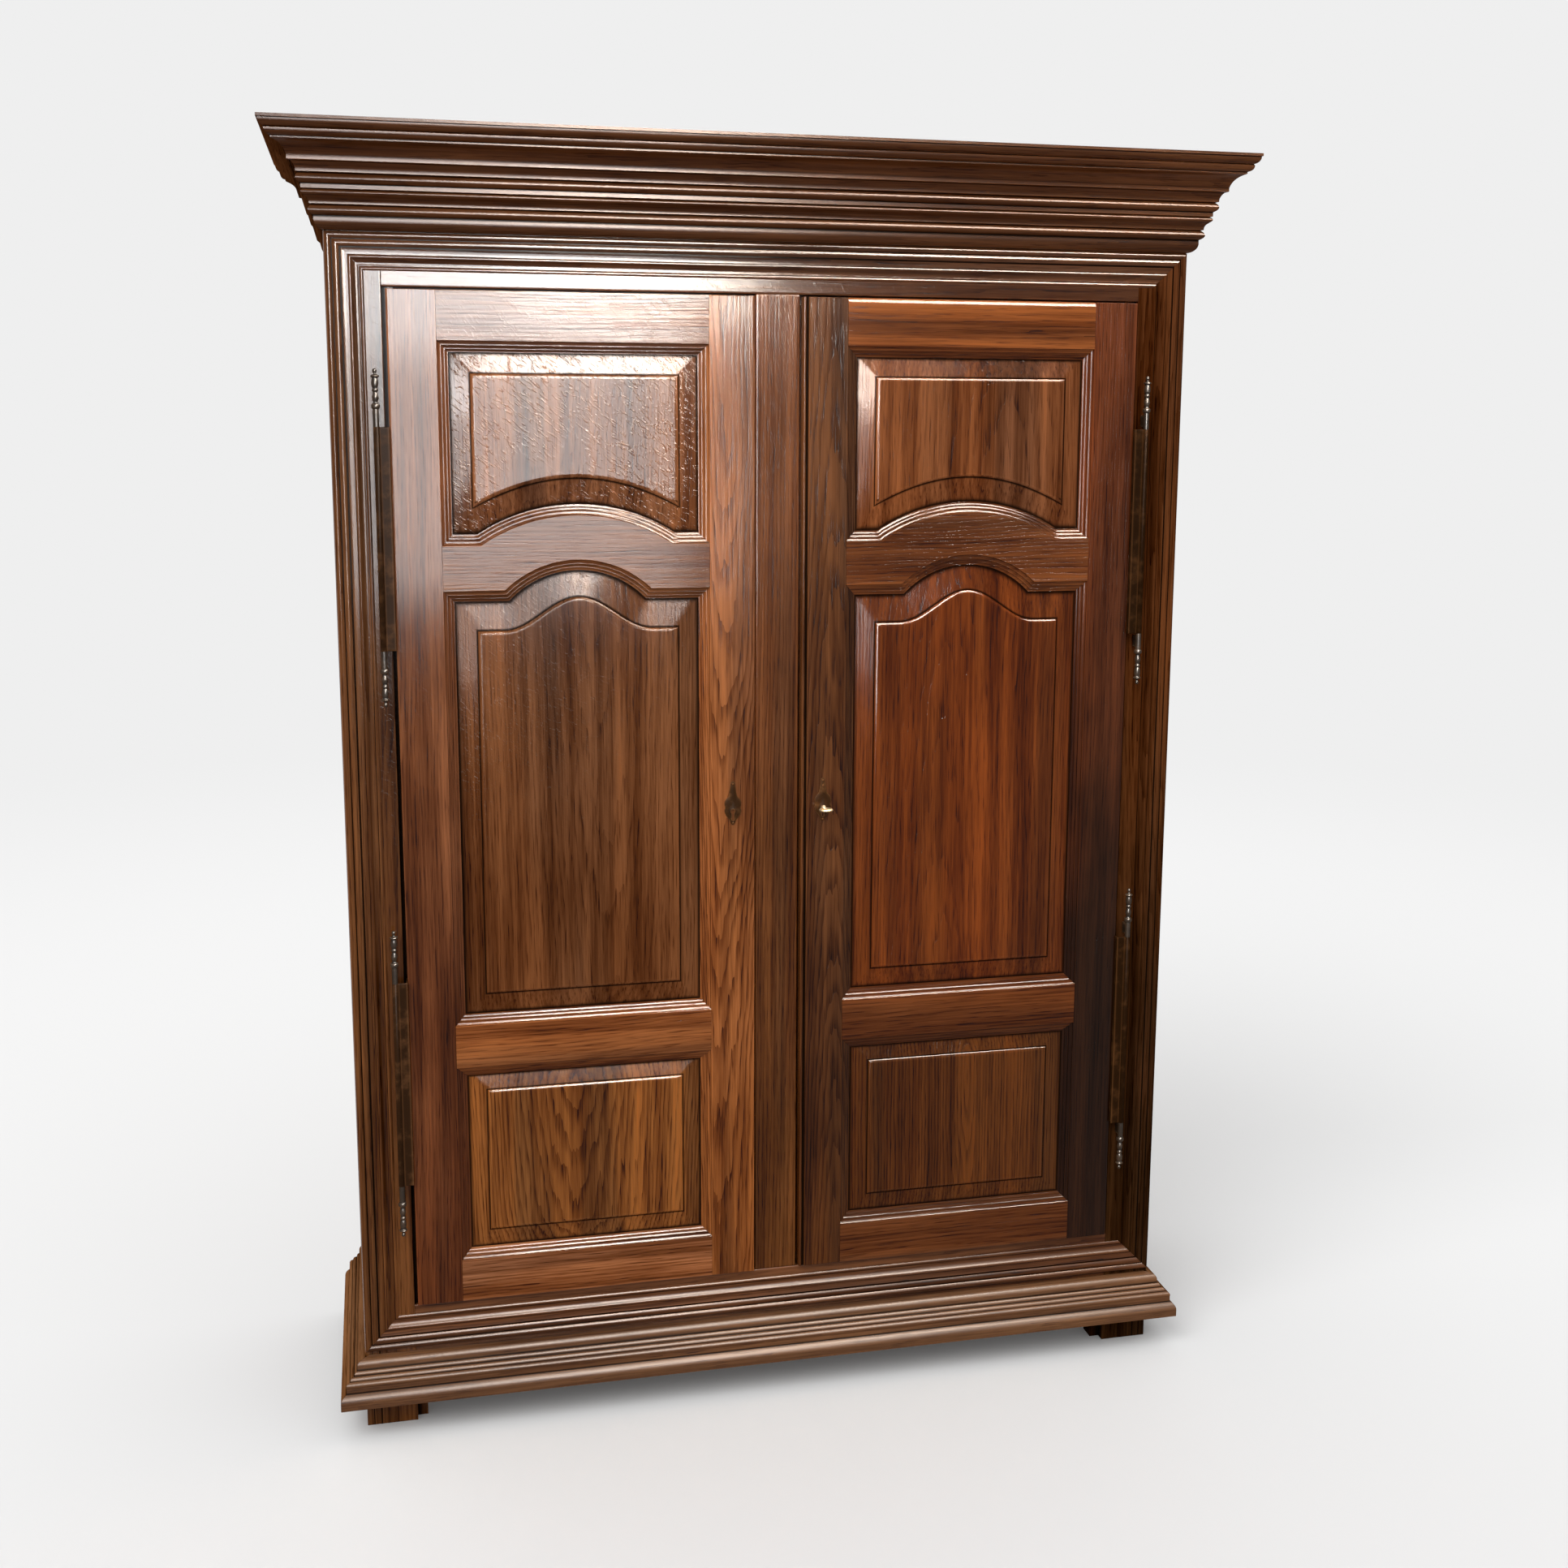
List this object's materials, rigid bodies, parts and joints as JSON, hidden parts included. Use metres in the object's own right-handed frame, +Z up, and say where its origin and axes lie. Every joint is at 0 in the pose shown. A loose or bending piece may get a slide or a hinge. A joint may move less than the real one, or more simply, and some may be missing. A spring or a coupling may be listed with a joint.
{
  "type": "wardrobe",
  "caption": "Free-standing panelled oak wardrobe with hinged doors, stepped cornice, rod hinges, rim locks, a hat shelf and a hanging rail.",
  "frame": {"origin": "centre of the overall box's underside, on the floor", "axes": "+X to the right as seen from the front, +Y towards the back, +Z up; the doors face -Y"},
  "size_m": [1.66, 0.536, 2.2166],
  "materials": {
    "oak_frame": "dark stained oak, waxed",
    "oak_panel": "red-brown stained oak, waxed",
    "oak_dark": "dark stained oak, dull",
    "oak_inside": "plain oak, unpolished",
    "iron": "dark wrought iron, rubbed",
    "nickel": "nickel-plated brass, polished"
  },
  "bodies": {
    "carcass": {"cornice_front": "oak_frame", "cornice_left": "oak_frame", "cornice_right": "oak_frame", "base_front": "oak_frame", "base_left": "oak_frame", "base_right": "oak_frame", "front_post_left": "oak_frame", "front_post_right": "oak_frame", "centre_post": "oak_frame", "front_top_rail": "oak_frame", "front_bottom_rail": "oak_frame", "hanging_rail": "oak_frame", "back_post_left": "oak_dark", "back_post_right": "oak_dark", "side_bottom_rail_left": "oak_dark", "side_bottom_rail_right": "oak_dark", "side_top_rail_left": "oak_dark", "side_top_rail_right": "oak_dark", "top_board": "oak_dark", "side_panel_left": "oak_panel", "side_panel_right": "oak_panel", "back_panel": "oak_inside", "floor_board": "oak_inside", "hat_shelf": "oak_inside", "shelf_cleat_left": "oak_inside", "shelf_cleat_right": "oak_inside", "left_upper_hinge_pin": "iron", "left_lower_hinge_pin": "iron", "right_upper_hinge_pin": "iron", "right_lower_hinge_pin": "iron"},
    "left_door": {"left_hinge_stile": "oak_frame", "left_lock_stile": "oak_frame", "left_top_rail": "oak_frame", "left_arched_rail": "oak_frame", "left_lower_rail": "oak_frame", "left_bottom_rail": "oak_frame", "left_upper_panel": "oak_panel", "left_middle_panel": "oak_panel", "left_lower_panel": "oak_panel", "left_escutcheon": "iron", "left_lock_case": "iron", "left_upper_hinge_leaf": "iron", "left_lower_hinge_leaf": "iron"},
    "left_bolt": {"left_lock_bolt": "iron"},
    "right_door": {"right_hinge_stile": "oak_frame", "right_lock_stile": "oak_frame", "right_top_rail": "oak_frame", "right_arched_rail": "oak_frame", "right_lower_rail": "oak_frame", "right_bottom_rail": "oak_frame", "right_upper_panel": "oak_panel", "right_middle_panel": "oak_panel", "right_lower_panel": "oak_panel", "right_escutcheon": "iron", "right_lock_case": "iron", "right_upper_hinge_leaf": "iron", "right_lower_hinge_leaf": "iron"},
    "right_bolt": {"right_lock_bolt": "iron"},
    "key": {"key": "nickel"}
  },
  "joints": [
    {"name": "left_door_hinge", "type": "hinge", "parent": "carcass", "child": "left_door", "pos_m": [-0.667, -0.189, 0.224], "axis": [0, 0, -1], "range_deg": [0, 165]},
    {"name": "right_door_hinge", "type": "hinge", "parent": "carcass", "child": "right_door", "pos_m": [0.667, -0.189, 0.224], "axis": [0, 0, 1], "range_deg": [0, 165]},
    {"name": "key_turn", "type": "hinge", "parent": "right_door", "child": "key", "pos_m": [0.081, -0.183, 1.088], "axis": [0, -1, 0], "range_deg": [0, 270]},
    {"name": "right_bolt_slide", "type": "slide", "parent": "right_door", "child": "right_bolt", "axis": [-1, 0, 0], "range_m": [0, 0.012]},
    {"name": "left_bolt_slide", "type": "slide", "parent": "left_door", "child": "left_bolt", "axis": [1, 0, 0], "range_m": [0, 0.012]}
  ],
  "couplings": [
    {"joint": "key_turn", "follows": "right_bolt_slide", "rad_per_m": 392.7}
  ]
}
